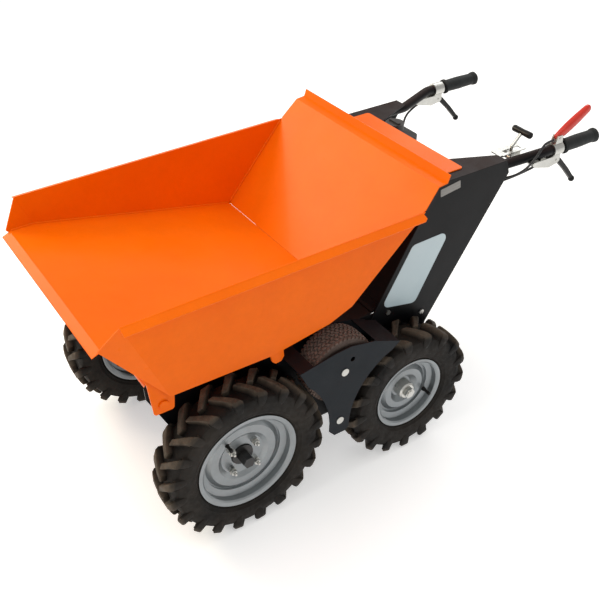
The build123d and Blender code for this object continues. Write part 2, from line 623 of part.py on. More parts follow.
for side, s in SIDES:
    with BuildPart() as squeeze:
        # squeeze lever: a bent blade with a ball end below the grip
        with BuildSketch(yz(1, s * HANDLE_X - 4.8)):
            with BuildLine():
                Polyline([(PIVOT_Y - 9, PIVOT_Z + 6), (PIVOT_Y + 8, PIVOT_Z + 9), (PIVOT_Y + 22, PIVOT_Z - 2),
                          (PIVOT_Y + 60, PIVOT_Z - 42), (PIVOT_Y + 92, PIVOT_Z - 80), (PIVOT_Y + 88, PIVOT_Z - 88),
                          (PIVOT_Y + 80, PIVOT_Z - 84), (PIVOT_Y + 46, PIVOT_Z - 46), (PIVOT_Y + 8, PIVOT_Z - 9),
                          (PIVOT_Y - 8, PIVOT_Z - 7)], close=True)
            make_face()
            with Locations((PIVOT_Y, PIVOT_Z)):
                Circle(3.05, mode=Mode.SUBTRACT)
        extrude(amount=9.6)
        with Locations((s * HANDLE_X, PIVOT_Y + 90, PIVOT_Z - 87)):
            Sphere(9)
    save(squeeze.part, f"squeeze_lever_{side}")

with BuildPart() as red_lever:
    with BuildSketch(yz(1, HANDLE_X - 4.8)):
        with BuildLine():
            Polyline([(RED_Y - 10, RED_Z - 4), (RED_Y - 6, RED_Z + 8), (RED_Y + 30, RED_Z + 26), (RED_Y + 34, RED_Z + 18),
                      (RED_Y + 8, RED_Z - 6)], close=True)
        make_face()
        with Locations((RED_Y, RED_Z)):
            Circle(3.05, mode=Mode.SUBTRACT)
    extrude(amount=9.6)
    with BuildSketch(Plane(origin=(HANDLE_X, RED_Y + 26, RED_Z + 18), x_dir=(1, 0, 0), z_dir=(0, 0.875, 0.485))):
        RectangleRounded(15, 19, 6.5)
    extrude(amount=93)
save(red_lever.part, "red_clutch_lever")

with BuildPart() as gate:
    # zinc shift plate on the left tube with a slot for the T lever
    with BuildSketch(Plane.XY.offset(762)):
        with Locations((182, FA + 932)):
            RectangleRounded(42, 96, 6)
        with Locations((GEAR_X, GEAR_Y)):
            Rectangle(14, 60, mode=Mode.SUBTRACT)
    extrude(amount=3)
    # cheeks that carry the lever pin and the tie to the tower flange
    for x in (168.5, 199.5):
        with BuildSketch(yz(1, x)):
            with Locations((GEAR_Y, 750)):
                Rectangle(36, 24.2)
            with Locations((GEAR_Y, 742)):
                Circle(3.05, mode=Mode.SUBTRACT)
        extrude(amount=4)
    with BuildSketch(yz(1, 166)):
        with Locations((GEAR_Y, 742)):
            Circle(3)
    extrude(amount=40)
    with BuildSketch(Plane.XY.offset(763.9)):
        with Locations((196.5, FA + 866)):
            Rectangle(13, 48)
    extrude(amount=3)
save(gate.part, "gear_gate")

with BuildPart() as gear:
    with BuildSketch(Plane(origin=(GEAR_X, GEAR_Y, 734), x_dir=(1, 0, 0), z_dir=(0, 0, 1))):
        Circle(4.5)
    extrude(amount=40)
    with Locations((GEAR_X, GEAR_Y, 774)):
        Sphere(4.5)
    with BuildSketch(Plane(origin=(GEAR_X, GEAR_Y, 774), x_dir=(1, 0, 0), z_dir=(0, 0.7, 0.714))):
        Circle(4.5)
    extrude(amount=46)
    with BuildSketch(yz(1, GEAR_X - 30)):
        with Locations((GEAR_Y + 33, 808)):
            Circle(7)
    extrude(amount=60)
    with BuildSketch(yz(1, GEAR_X - 12)):
        with Locations((GEAR_Y, 742)):
            Circle(9)
    extrude(amount=24)
    with BuildSketch(yz(1, GEAR_X - 13)):
        with Locations((GEAR_Y, 742)):
            Circle(3.05)
    extrude(amount=26, mode=Mode.SUBTRACT)
save(gear.part, "gear_lever")


# Held control cables: straight runs joined by tangent arcs.
CABLE_R = 3.2
CABLES = {
    "left lever": [(246, FA + 1003, 736), (246, FA + 962, 727), (234, FA + 914, 712), (202, FA + 872, 686),
                   (156, FA + 838, 646)],
    "right lever": [(-246, FA + 1003, 736), (-246, FA + 962, 727), (-234, FA + 914, 712), (-202, FA + 876, 680),
                    (-176, FA + 856, 628)],
    "clutch": [(246, FA + 1030, 792), (247, FA + 998, 790), (262, FA + 960, 774), (262, FA + 924, 742),
               (239, FA + 902, 716), (204, FA + 880, 700), (164, FA + 852, 684)],
}
total = 0
with BuildPart() as cables:
    for name, pts in CABLES.items():
        v = [Vector(*q) for q in pts]
        radii = []
        for a, b, c in zip(v, v[1:], v[2:]):
            turn = math.radians((b - a).get_angle(c - b))
            radii.append(min(140, 0.45 * min((b - a).length, (c - b).length) / math.tan(turn / 2)))
        with BuildLine() as path:
            FilletPolyline(*pts, radius=radii)
        with BuildSketch(Plane(origin=pts[0], z_dir=(v[1] - v[0]).normalized())):
            Circle(CABLE_R)
        sweep()
        ln = sum(e.length for e in path.line.edges())
        total += ln
        print(name, "cable length", round(ln, 1), "radii", [round(q) for q in radii])
print("cable volume / (section * length)", round(cables.part.volume / (math.pi * CABLE_R ** 2 * total), 4))
save(cables.part, "control_cables")

# ------------------------------------------------------------------ engine
with BuildPart() as block:
    with BuildSketch(Plane.XY.offset(398)):
        with Locations((0, ENG_Y)):
            Circle(92)
    extrude(amount=84)
    # finned cylinder towards the front right
    for i in range(7):
        with BuildSketch(Plane(origin=(-60 - i * 11, ENG_Y, 446), x_dir=(0, 1, 0), z_dir=(-1, 0, 0))):
            Rectangle(116, 66)
        extrude(amount=5)
    with BuildSketch(Plane(origin=(-60, ENG_Y, 446), x_dir=(0, 1, 0), z_dir=(-1, 0, 0))):
        Rectangle(84, 50)
    extrude(amount=98)
    with BuildSketch(Plane.XY.offset(390)):
        with Locations((0, ENG_Y)):
            Circle(12.6)
    extrude(amount=100, mode=Mode.SUBTRACT)
    # spark plug cap
    with BuildSketch(Plane(origin=(-110, ENG_Y - 58, 458), x_dir=(1, 0, 0), z_dir=(0, -1, 0))):
        Circle(9)
    extrude(amount=26)
save(block.part, "engine_block")

with BuildPart() as shroud:
    with BuildSketch(Plane.XY.offset(484)):
        with Locations((0, ENG_Y)):
            Circle(108)
            Circle(104, mode=Mode.SUBTRACT)
    extrude(amount=96)
    with BuildSketch(Plane.XY.offset(580)):
        with Locations((0, ENG_Y)):
            Circle(108)
            Circle(60, mode=Mode.SUBTRACT)
    extrude(amount=4)
save(shroud.part, "engine_shroud")

with BuildPart() as flywheel:
    # flywheel with its fan blades on the vertical crankshaft
    with BuildSketch(Plane.XY.offset(352)):
        with Locations((0, ENG_Y)):
            Circle(12.5)
    extrude(amount=134)
    with BuildSketch(Plane.XY.offset(486)):
        with Locations((0, ENG_Y)):
            Circle(92)
    extrude(amount=20)
    with BuildSketch(Plane.XY.offset(506)):
        with Locations((0, ENG_Y)):
            with PolarLocations(74, 14):
                Rectangle(30, 4)
    extrude(amount=34)
save(flywheel.part, "flywheel_fan")

with BuildPart() as recoil:
    # recoil starter housing with vent slots
    with BuildSketch(Plane.XY.offset(584.3)):
        with Locations((0, ENG_Y)):
            Circle(76)
    extrude(amount=30, taper=10)
    with BuildSketch(Plane.XY.offset(600)):
        with Locations((0, ENG_Y)):
            with PolarLocations(46, 12):
                SlotCenterToCenter(20, 6, rotation=0)
    extrude(amount=20, mode=Mode.SUBTRACT)
    with BuildSketch(Plane(origin=(0, ENG_Y + 66, 598), x_dir=(1, 0, 0), z_dir=(0, 1, 0))):
        Circle(11)
    extrude(amount=22)
save(recoil.part, "recoil_starter")

with BuildPart() as recoil_handle:
    with BuildSketch(Plane(origin=(0, ENG_Y + 88.3, 598), x_dir=(1, 0, 0), z_dir=(0, 1, 0))):
        Circle(5)
    extrude(amount=10)
    with BuildSketch(Plane(origin=(0, ENG_Y + 98.2, 598), x_dir=(1, 0, 0), z_dir=(0, 1, 0))):
        RectangleRounded(62, 18, 8)
    extrude(amount=16)
save(recoil_handle.part, "recoil_handle")

with BuildPart() as tank:
    with BuildSketch(Plane.XY.offset(640)):
        with Locations((-140, FA + 772)):
            RectangleRounded(112, 150, 22)
    extrude(amount=82)
    with BuildSketch(Plane.XY.offset(722)):
        with Locations((CAP_X, CAP_Y)):
            Circle(20)
    extrude(amount=24)
    with BuildSketch(yz(1, -231.9)):
        with Locations((FA + 780, 690)):
            Rectangle(40, 24)
    extrude(amount=40)
save(tank.part, "fuel_tank")

with BuildPart() as cap:
    with BuildSketch(Plane.XY.offset(746.4)):
        with Locations((CAP_X, CAP_Y)):
            Circle(27)
    extrude(amount=22)
    with BuildSketch(Plane.XY.offset(768.4)):
        with Locations((CAP_X, CAP_Y)):
            RectangleRounded(44, 10, 4)
    extrude(amount=5)
save(cap.part, "fuel_cap")

with BuildPart() as air_filter:
    with BuildSketch(Plane.XY.offset(470)):
        with Locations((158, ENG_Y - 6)):
            RectangleRounded(78, 116, 18)
    extrude(amount=64)
    with BuildSketch(Plane.XY.offset(486)):
        with Locations((114, ENG_Y - 6)):
            Rectangle(10.4, 40)
    extrude(amount=30)
save(air_filter.part, "air_filter")

with BuildPart() as muffler:
    with BuildSketch(Plane.XY.offset(424)):
        with Locations((-192, ENG_Y - 6)):
            RectangleRounded(60, 112, 20)
    extrude(amount=62)
    with BuildSketch(Plane(origin=(-192, ENG_Y + 50, 452), x_dir=(1, 0, 0), z_dir=(0, 1, 0))):
        Circle(10)
        Circle(8, mode=Mode.SUBTRACT)
    extrude(amount=24)
save(muffler.part, "muffler")

# ------------------------------------------------------------------ drive
for name, y, z0, z1, r, bore in (("engine_pulley", ENG_Y, 358, 385, 40, 12.55), ("gearbox_pulley", GBX_Y, 358, 386, 60, 9.05)):
    with BuildPart() as pulley:
        with BuildSketch(Plane.XZ.offset(-y)):
            with BuildLine():
                Polyline([(bore, z0), (r + 4, z0), (r + 4, z0 + 4), (r - 5, BELT_Z - 2), (r - 5, BELT_Z + 2),
                          (r + 4, z0 + 24), (r + 4, z1), (bore, z1)], close=True)
            make_face()
        revolve(axis=Axis((0, y, 0), (0, 0, 1)))
    save(pulley.part, name)

with BuildPart() as belt:
    # one V belt round both pulleys
    span = ENG_Y - GBX_Y
    r1, r2 = 60.0, 40.0
    b = math.asin((r1 - r2) / span)
    ca, sa = math.sin(b), math.cos(b)

    with BuildSketch(Plane.XY.offset(BELT_Z - 5)):
        for o, m in ((9, Mode.ADD), (4.4, Mode.SUBTRACT)):
            p1 = (-(r1 + o) * sa, GBX_Y + (r1 + o) * ca)
            p2 = (-(r2 + o) * sa, ENG_Y + (r2 + o) * ca)
            p3 = ((r2 + o) * sa, ENG_Y + (r2 + o) * ca)
            p4 = ((r1 + o) * sa, GBX_Y + (r1 + o) * ca)
            with BuildLine():
                Line(p1, p2)
                ThreePointArc(p2, (0, ENG_Y + r2 + o), p3)
                Line(p3, p4)
                ThreePointArc(p4, (0, GBX_Y - r1 - o), p1)
            make_face(mode=m)
    extrude(amount=10)
save(belt.part, "drive_belt")

with BuildPart() as gearbox:
    with BuildSketch(Plane.XY.offset(160)):
        with Locations((0, FA + 20)):
            RectangleRounded(146, 170, 20)
    extrude(amount=150)
    for s in (1, -1):
        with BuildSketch(Plane(origin=(s * 72, FA, FRONT_Z), x_dir=(0, 1, 0), z_dir=(s, 0, 0))):
            Circle(34)
            Circle(12.55, mode=Mode.SUBTRACT)
        extrude(amount=26)
        with BuildSketch(Plane(origin=(s * 66, FA, FRONT_Z), x_dir=(0, 1, 0), z_dir=(s, 0, 0))):
            Circle(12.55)
        extrude(amount=40, mode=Mode.SUBTRACT)
    with BuildSketch(Plane.XY.offset(310)):
        with Locations((0, GBX_Y)):
            Circle(20)
    extrude(amount=30)
    with BuildSketch(Plane.XY.offset(340)):
        with Locations((0, GBX_Y)):
            Circle(9)
    extrude(amount=52)
save(gearbox.part, "gearbox")

# ------------------------------------------------------------------ fasteners
with BuildPart() as frame_bolts:
    # dome-headed bolts on the pod side plates
    for s in (1, -1):
        with BuildSketch(yz(s, POD_X)):
            with Locations((IDLER_Y, IDLER_Z), (FA + 272, 232)):
                Circle(11)
        extrude(amount=s * 1.9)
    for s in (1, -1):
        with BuildSketch(yz(s, TOWER_X)):
            with Locations((FA + 500, 424), (FA + 620, 378)):
                RegularPolygon(8, 6)
        extrude(amount=s * 3.6)
        with BuildSketch(yz(s, CHASSIS_X + 3.6)):
            with Locations((FA + 176, 424), (FA + 396, 366)):
                RegularPolygon(8, 6)
        extrude(amount=s * 3)
save(frame_bolts.part, "frame_fasteners")
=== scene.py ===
import bpy
import math
import random
from mathutils import Matrix, Vector


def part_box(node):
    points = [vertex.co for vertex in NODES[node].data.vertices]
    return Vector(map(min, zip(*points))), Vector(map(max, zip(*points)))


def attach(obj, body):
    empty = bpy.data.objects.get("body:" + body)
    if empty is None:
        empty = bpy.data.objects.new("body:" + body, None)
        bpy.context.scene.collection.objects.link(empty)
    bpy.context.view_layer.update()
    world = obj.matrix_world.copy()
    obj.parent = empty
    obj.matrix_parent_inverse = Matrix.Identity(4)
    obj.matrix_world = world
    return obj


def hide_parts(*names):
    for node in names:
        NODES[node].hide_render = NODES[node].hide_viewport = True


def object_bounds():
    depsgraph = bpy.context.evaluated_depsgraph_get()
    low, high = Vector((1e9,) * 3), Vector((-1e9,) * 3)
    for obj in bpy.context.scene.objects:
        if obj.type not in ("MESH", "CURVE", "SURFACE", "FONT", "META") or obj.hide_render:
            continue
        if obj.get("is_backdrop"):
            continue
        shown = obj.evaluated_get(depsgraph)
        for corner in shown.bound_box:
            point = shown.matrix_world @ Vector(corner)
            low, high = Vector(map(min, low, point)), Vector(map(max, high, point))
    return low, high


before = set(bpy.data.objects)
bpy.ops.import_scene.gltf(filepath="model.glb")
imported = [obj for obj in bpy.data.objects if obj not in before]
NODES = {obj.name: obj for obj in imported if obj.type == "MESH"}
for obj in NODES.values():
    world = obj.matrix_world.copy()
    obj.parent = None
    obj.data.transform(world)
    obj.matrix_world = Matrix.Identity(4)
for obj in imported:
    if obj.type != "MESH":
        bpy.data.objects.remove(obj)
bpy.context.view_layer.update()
rng = random.Random(11)


# ---------------------------------------------------------------- materials
class Mat:
    """A Principled material fed by object-space noise: colour drift, roughness, bump, dust."""

    def __init__(self, name):
        self.m = bpy.data.materials.new(name)
        self.m.use_nodes = True
        self.t = self.m.node_tree
        self.t.nodes.clear()
        self.out = self.t.nodes.new("ShaderNodeOutputMaterial")
        self.b = self.t.nodes.new("ShaderNodeBsdfPrincipled")
        self.t.links.new(self.b.outputs[0], self.out.inputs[0])
        self.tc = self.t.nodes.new("ShaderNodeTexCoord")
        self.colour = None
        self.height = None

    def noise(self, scale, detail=4.0, rough=0.55, stretch=None, seed=0.0):
        mp = self.t.nodes.new("ShaderNodeMapping")
        self.t.links.new(self.tc.outputs["Object"], mp.inputs["Vector"])
        mp.inputs["Location"].default_value = (seed, seed * 0.7, -seed)
        if stretch:
            mp.inputs["Scale"].default_value = stretch
        n = self.t.nodes.new("ShaderNodeTexNoise")
        n.inputs["Scale"].default_value = scale
        n.inputs["Detail"].default_value = detail
        n.inputs["Roughness"].default_value = rough
        self.t.links.new(mp.outputs[0], n.inputs["Vector"])
        return n.outputs["Fac"]

    def remap(self, src, a, b, lo=0.0, hi=1.0):
        r = self.t.nodes.new("ShaderNodeMapRange")
        r.inputs["From Min"].default_value = a
        r.inputs["From Max"].default_value = b
        r.inputs["To Min"].default_value = lo
        r.inputs["To Max"].default_value = hi
        self.t.links.new(src, r.inputs["Value"])
        return r.outputs[0]

    def math(self, op, a, b=None):
        n = self.t.nodes.new("ShaderNodeMath")
        n.operation = op
        for i, v in enumerate((a, b)):
            if v is None:
                continue
            if isinstance(v, (int, float)):
                n.inputs[i].default_value = v
            else:
                self.t.links.new(v, n.inputs[i])
        return n.outputs[0]

    def mix(self, fac, a, b):
        n = self.t.nodes.new("ShaderNodeMix")
        n.data_type = "RGBA"
        f, ca, cb = n.inputs[0], n.inputs[6], n.inputs[7]
        if isinstance(fac, (int, float)):
            f.default_value = fac
        else:
            self.t.links.new(fac, f)
        for s, v in ((ca, a), (cb, b)):
            if isinstance(v, tuple):
                s.default_value = (*v, 1.0) if len(v) == 3 else v
            else:
                self.t.links.new(v, s)
        return n.outputs[2]

    def xyz(self, which="Object"):
        s = self.t.nodes.new("ShaderNodeSeparateXYZ")
        self.t.links.new(self.tc.outputs[which], s.inputs[0])
        return s.outputs

    def bump(self, src, strength, distance=0.001):
        n = self.t.nodes.new("ShaderNodeBump")
        n.inputs["Strength"].default_value = strength
        n.inputs["Distance"].default_value = distance
        self.t.links.new(src, n.inputs["Height"])
        if self.height is not None:
            self.t.links.new(self.height, n.inputs["Normal"])
        self.height = n.outputs[0]

    def done(self, colour, rough, metal=0.0, coat=0.0, coat_rough=0.1, spec=0.5):
        self.t.links.new(colour, self.b.inputs["Base Color"])
        self.t.links.new(rough, self.b.inputs["Roughness"])
        self.b.inputs["Metallic"].default_value = metal
        self.b.inputs["Coat Weight"].default_value = coat
        self.b.inputs["Coat Roughness"].default_value = coat_rough
        self.b.inputs["Specular IOR Level"].default_value = spec
        if self.height is not None:
            self.t.links.new(self.height, self.b.inputs["Normal"])
        return self.m


def finish_of(name, base, alt, rough, metal=0.0, coat=0.0, coat_rough=0.1, drift=2.5, grain=700.0,
              grain_strength=0.15, wave=0.0, dust=None, up_dust_and_reflection=0.0, dust_all=0.0, seed=0.0, spec=0.5, stretch=None):
    """base drifts to alt; dust lies on faces that look up (up-face weight) and in noise patches (dust_all); on the
    black and pod enamels the reddish up-face tint is painted reflection of the orange tub as well as dust.
    """
    k = Mat(name)
    col = k.mix(k.remap(k.noise(drift, 5, 0.6, stretch, seed), 0.35, 0.68), base, alt)
    fine = k.noise(drift * 22, 6, 0.7, stretch, seed + 3)
    col = k.mix(k.remap(fine, 0.3, 0.75, 0.0, 0.22), col, tuple(c * 0.72 for c in base))
    ro = k.remap(k.noise(drift * 6, 5, 0.65, stretch, seed + 5), 0.3, 0.7, rough[0], rough[1])
    if dust:
        patch = k.remap(k.noise(9.0, 7, 0.7, None, seed + 8), 0.38, 0.66)
        # Faces that look up take the dust colour; on the black and pod enamels this reddish tint is painted reflection
        # of the orange tub as well as dust.
        up = k.remap(k.xyz("Normal")[2], 0.35, 0.95, 0.0, up_dust_and_reflection)
        f = k.math("ADD", k.math("MULTIPLY", up, k.remap(patch, 0, 1, 0.55, 1.0)), k.math("MULTIPLY", patch, dust_all))
        f = k.math("MINIMUM", f, 0.92)
        col = k.mix(f, col, dust)
        ro = k.math("MINIMUM", k.math("ADD", ro, k.math("MULTIPLY", f, 0.35)), 0.95)
    k.bump(k.noise(grain, 3, 0.6, stretch, seed + 1), grain_strength, 0.0006)
    if wave:
        k.bump(k.noise(4.5, 2, 0.4, None, seed + 2), wave, 0.004)
    return k.done(col, ro, metal, coat, coat_rough, spec)


BROWN = (0.050, 0.036, 0.027)
M = {}
M["orange"] = finish_of("orange_enamel", (0.93, 0.152, 0.0001), (0.84, 0.122, 0.0001), (0.26, 0.38), coat=0.10, coat_rough=0.16,
                        grain=420, grain_strength=0.05, wave=0.10, dust=(0.60, 0.16, 0.03), up_dust_and_reflection=0.05, dust_all=0.05, spec=0.06)
# Black enamel: the reddish brown laid on faces that look up is painted reflection of the orange tub as well as dust;
# the noise patches are dust.
M["black"] = finish_of("black_enamel", (0.0022, 0.0026, 0.0034), (0.0040, 0.0046, 0.0060), (0.30, 0.46), coat=0.04, grain=500,
                       grain_strength=0.08, wave=0.08, dust=(0.030, 0.015, 0.012), up_dust_and_reflection=0.75, dust_all=0.06, seed=2, spec=0.14)
# Pod enamel: the reddish brown laid on faces that look up is painted reflection of the orange tub as well as dust; the
# noise patches are dust.
M["pod"] = finish_of("pod_enamel", (0.0042, 0.0078, 0.0120), (0.0062, 0.0105, 0.0155), (0.38, 0.52), coat=0.03, grain=500,
                     grain_strength=0.08, wave=0.06, dust=(0.022, 0.009, 0.007), up_dust_and_reflection=0.88, dust_all=0.05, seed=4, spec=0.14)
M["silver"] = finish_of("rim_paint", (0.27, 0.295, 0.31), (0.35, 0.375, 0.39), (0.26, 0.38), metal=0.72, coat=0.15, grain=900,
                        grain_strength=0.14, dust=(0.16, 0.15, 0.135), up_dust_and_reflection=0.10, dust_all=0.20, seed=6)
M["zinc"] = finish_of("zinc_plate", (0.66, 0.66, 0.63), (0.54, 0.54, 0.51), (0.22, 0.42), metal=1.0, grain=1200, grain_strength=0.12,
                      drift=12, dust=(0.25, 0.22, 0.18), up_dust_and_reflection=0.10, dust_all=0.12, seed=8)
M["hub"] = finish_of("hub_black", (0.003, 0.003, 0.0032), (0.006, 0.006, 0.006), (0.30, 0.48), coat=0.05, drift=20, seed=10,
                     dust=BROWN, up_dust_and_reflection=0.12, dust_all=0.06, spec=0.22)
M["rubber"] = finish_of("soft_rubber", (0.011, 0.013, 0.0135), (0.020, 0.023, 0.024), (0.50, 0.68), drift=18, grain=1500,
                        grain_strength=0.25, dust=(0.05, 0.05, 0.048), up_dust_and_reflection=0.15, dust_all=0.08, seed=12, spec=0.25)
M["red"] = finish_of("dipped_red", (0.62, 0.022, 0.006), (0.50, 0.016, 0.004), (0.28, 0.42), coat=0.2, drift=14, grain=300,
                     grain_strength=0.10, seed=14)
M["cable"] = finish_of("cable_sheath", (0.010, 0.010, 0.011), (0.020, 0.020, 0.021), (0.38, 0.55), drift=25, seed=16)
M["cast"] = finish_of("cast_metal", (0.42, 0.42, 0.41), (0.33, 0.33, 0.32), (0.42, 0.60), metal=0.9, drift=10, grain=500,
                      grain_strength=0.45, dust=BROWN, up_dust_and_reflection=0.3, dust_all=0.25, seed=18)
M["cover"] = finish_of("moulded_cover", (0.014, 0.014, 0.016), (0.022, 0.022, 0.024), (0.40, 0.58), drift=8, grain=900,
                       grain_strength=0.35, dust=BROWN, up_dust_and_reflection=0.3, dust_all=0.1, seed=20)
M["heat"] = finish_of("heat_steel", (0.20, 0.16, 0.13), (0.30, 0.20, 0.12), (0.35, 0.62), metal=0.9, drift=16, grain=400,
                      grain_strength=0.35, dust=(0.12, 0.06, 0.03), up_dust_and_reflection=0.2, dust_all=0.4, seed=22)
M["machined"] = finish_of("machined_steel", (0.50, 0.50, 0.50), (0.42, 0.42, 0.42), (0.24, 0.40), metal=1.0, drift=14,
                          grain=900, grain_strength=0.2, stretch=(1, 1, 6), seed=24)


def decal_material():
    """Pale film on the tower sides, bare metal on the small blank plate above it."""
    k = Mat("pale_film")
    x, y, z = k.xyz("Object")
    film = k.mix(k.remap(k.noise(5, 5, 0.6, None, 31), 0.35, 0.7), (0.38, 0.50, 0.55), (0.46, 0.57, 0.61))
    film = k.mix(k.remap(z, 0.44, 0.62, 0.0, 0.35), film, (0.60, 0.68, 0.70))
    plate = k.mix(k.remap(k.noise(30, 4, 0.6, (1, 1, 8), 33), 0.3, 0.7), (0.24, 0.23, 0.21), (0.17, 0.165, 0.155))
    col = k.mix(k.remap(z, 0.700, 0.702), film, plate)
    ro = k.remap(k.noise(20, 5, 0.6, None, 35), 0.3, 0.7, 0.26, 0.42)
    k.bump(k.noise(300, 3, 0.6, None, 36), 0.08, 0.0005)
    return k.done(col, ro, 0.0, 0.35, 0.15)


M["decal"] = decal_material()


def tyre_material(name, crown, depth, dust, body, seed):
    """Rubber, dusty on the outermost few millimetres; the object's origin is the wheel centre."""
    k = Mat(name)
    x, y, z = k.xyz("Object")
    r = k.math("SQRT", k.math("ADD", k.math("MULTIPLY", y, y), k.math("MULTIPLY", z, z)))
    tip = k.remap(r, crown - depth, crown - depth * 0.15)
    patch = k.remap(k.noise(38, 7, 0.7, None, seed), 0.30, 0.66, 0.25, 1.0)
    low = k.remap(k.noise(7, 6, 0.65, None, seed + 1), 0.34, 0.70)
    col = k.mix(low, body, tuple(c * 1.9 for c in body))
    col = k.mix(k.math("MULTIPLY", low, 0.35), col, tuple(c * 0.45 for c in dust))
    col = k.mix(k.math("MULTIPLY", k.math("MULTIPLY", tip, patch), 0.85), col, dust)
    ro = k.remap(k.noise(60, 5, 0.6, None, seed + 2), 0.3, 0.7, 0.50, 0.78)
    k.bump(k.noise(420, 5, 0.7, None, seed + 3), 0.45, 0.0008)
    k.bump(k.noise(60, 4, 0.6, None, seed + 4), 0.22, 0.0012)
    return k.done(col, ro, 0.0, 0.0, 0.1, 0.16)


NODE_FINISH = {
    "orange": ["tub_hinge_shaft", "tub_floor", "tub_side_walls", "tub_rear_wall", "tub_ribs", "tub_latch_bar", "tower_top_cover"],
    "black": ["chassis_side_plates", "chassis_deck", "chassis_cross_members", "tower_side_plates",
              "tower_front_panel", "handlebars", "latch_bracket"],
    "pod": ["idler_pods"],
    "silver": ["front_rim_left", "front_rim_right", "rear_rim_left", "rear_rim_right", "idler_hub_left", "idler_hub_right"],
    "zinc": ["rear_hub_left", "rear_hub_right", "frame_fasteners", "lever_brackets", "gear_gate", "tub_latch_hook",
             "stub_axles", "gear_lever"],
    "hub": ["front_bearings", "squeeze_lever_left", "squeeze_lever_right"],
    "rubber": ["grips", "tub_rubber_buffers"],
    "red": ["red_clutch_lever"],
    "decal": ["side_decals"],
    "cable": ["control_cables", "drive_belt"],
    "cast": ["engine_block", "gearbox"],
    "cover": ["engine_shroud", "recoil_starter", "air_filter", "recoil_handle", "fuel_cap", "fuel_tank"],
    "heat": ["muffler"],
    "machined": ["flywheel_fan", "engine_pulley", "gearbox_pulley"],
}
for key, names in NODE_FINISH.items():
    for n in names:
        o = NODES[n]
        o.data.materials.clear()
        o.data.materials.append(M[key])


def hub_finish():
    """Front hubs: black shaft end, zinc bolts round it at the bolt circle."""
    for side, s in (("left", 1), ("right", -1)):
        k = Mat("front_hub_" + side + "_finish")
        x, y, z = k.xyz("Object")
        dy, dz = k.math("ADD", y, 0.435), k.math("SUBTRACT", z, 0.2265)
        r = k.math("SQRT", k.math("ADD", k.math("MULTIPLY", dy, dy), k.math("MULTIPLY", dz, dz)))
        ax = k.math("MULTIPLY", x, s)
        ring = k.math("MULTIPLY", k.math("GREATER_THAN", r, 0.036), k.math("LESS_THAN", r, 0.060))
        outer = k.math("MULTIPLY", ring, k.math("GREATER_THAN", ax, 0.296))
        zinc = k.mix(k.remap(k.noise(40, 4, 0.6, None, 41), 0.3, 0.7), (0.66, 0.66, 0.64), (0.50, 0.50, 0.48))
        blk = k.mix(k.remap(k.noise(30, 4, 0.6, None, 43), 0.3, 0.7), (0.007, 0.007, 0.008), (0.018, 0.017, 0.016))
        k.t.links.new(outer, k.b.inputs["Metallic"])
        k.bump(k.noise(900, 3, 0.6, None, 44), 0.15, 0.0005)
        col = k.mix(outer, blk, zinc)
        k.t.links.new(col, k.b.inputs["Base Color"])
        k.t.links.new(k.remap(k.noise(50, 4, 0.6, None, 45), 0.3, 0.7, 0.26, 0.42), k.b.inputs["Roughness"])
        k.t.links.new(k.height, k.b.inputs["Normal"])
        o = NODES["front_hub_" + side]
        o.data.materials.clear()
        o.data.materials.append(k.m)


hub_finish()


# ---------------------------------------------------------------- mesh helpers
def make(name, verts, faces, mat, body, at=(0, 0, 0), smooth=True, angle=35):
    me = bpy.data.meshes.new(name)
    me.from_pydata(verts, [], faces)
    me.validate()
    me.update()
    if smooth:
        me.polygons.foreach_set("use_smooth", [True] * len(me.polygons))
        me.set_sharp_from_angle(angle=math.radians(angle))
    o = bpy.data.objects.new(name, me)
    bpy.context.collection.objects.link(o)
    o.location = at
    me.materials.append(mat)
    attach(o, body)
    return o


def lathe(profile, seg, closed=True):
    """Profile points (x, r) revolved about the X axis."""
    v, f, n = [], [], len(profile)
    for i in range(seg):
        a = 2 * math.pi * i / seg
        v += [(x, -r * math.sin(a), r * math.cos(a)) for x, r in profile]
    for i in range(seg):
        j = (i + 1) % seg
        for k in range(n if closed else n - 1):
            m = (k + 1) % n
            f.append((i * n + k, i * n + m, j * n + m, j * n + k))
    return v, f


def polar(x, r, a):
    return (x, -r * math.sin(a), r * math.cos(a))


def add_tube(v, f, rings):
    """Closed solid through equal rings of points."""
    b, n = len(v), len(rings[0])
    for r in rings:
        v.extend(r)
    for i in range(len(rings) - 1):
        for k in range(n):
            m = (k + 1) % n
            f.append((b + i * n + k, b + i * n + m, b + (i + 1) * n + m, b + (i + 1) * n + k))
    f.append(tuple(b + k for k in reversed(range(n))))
    f.append(tuple(b + (len(rings) - 1) * n + k for k in range(n)))


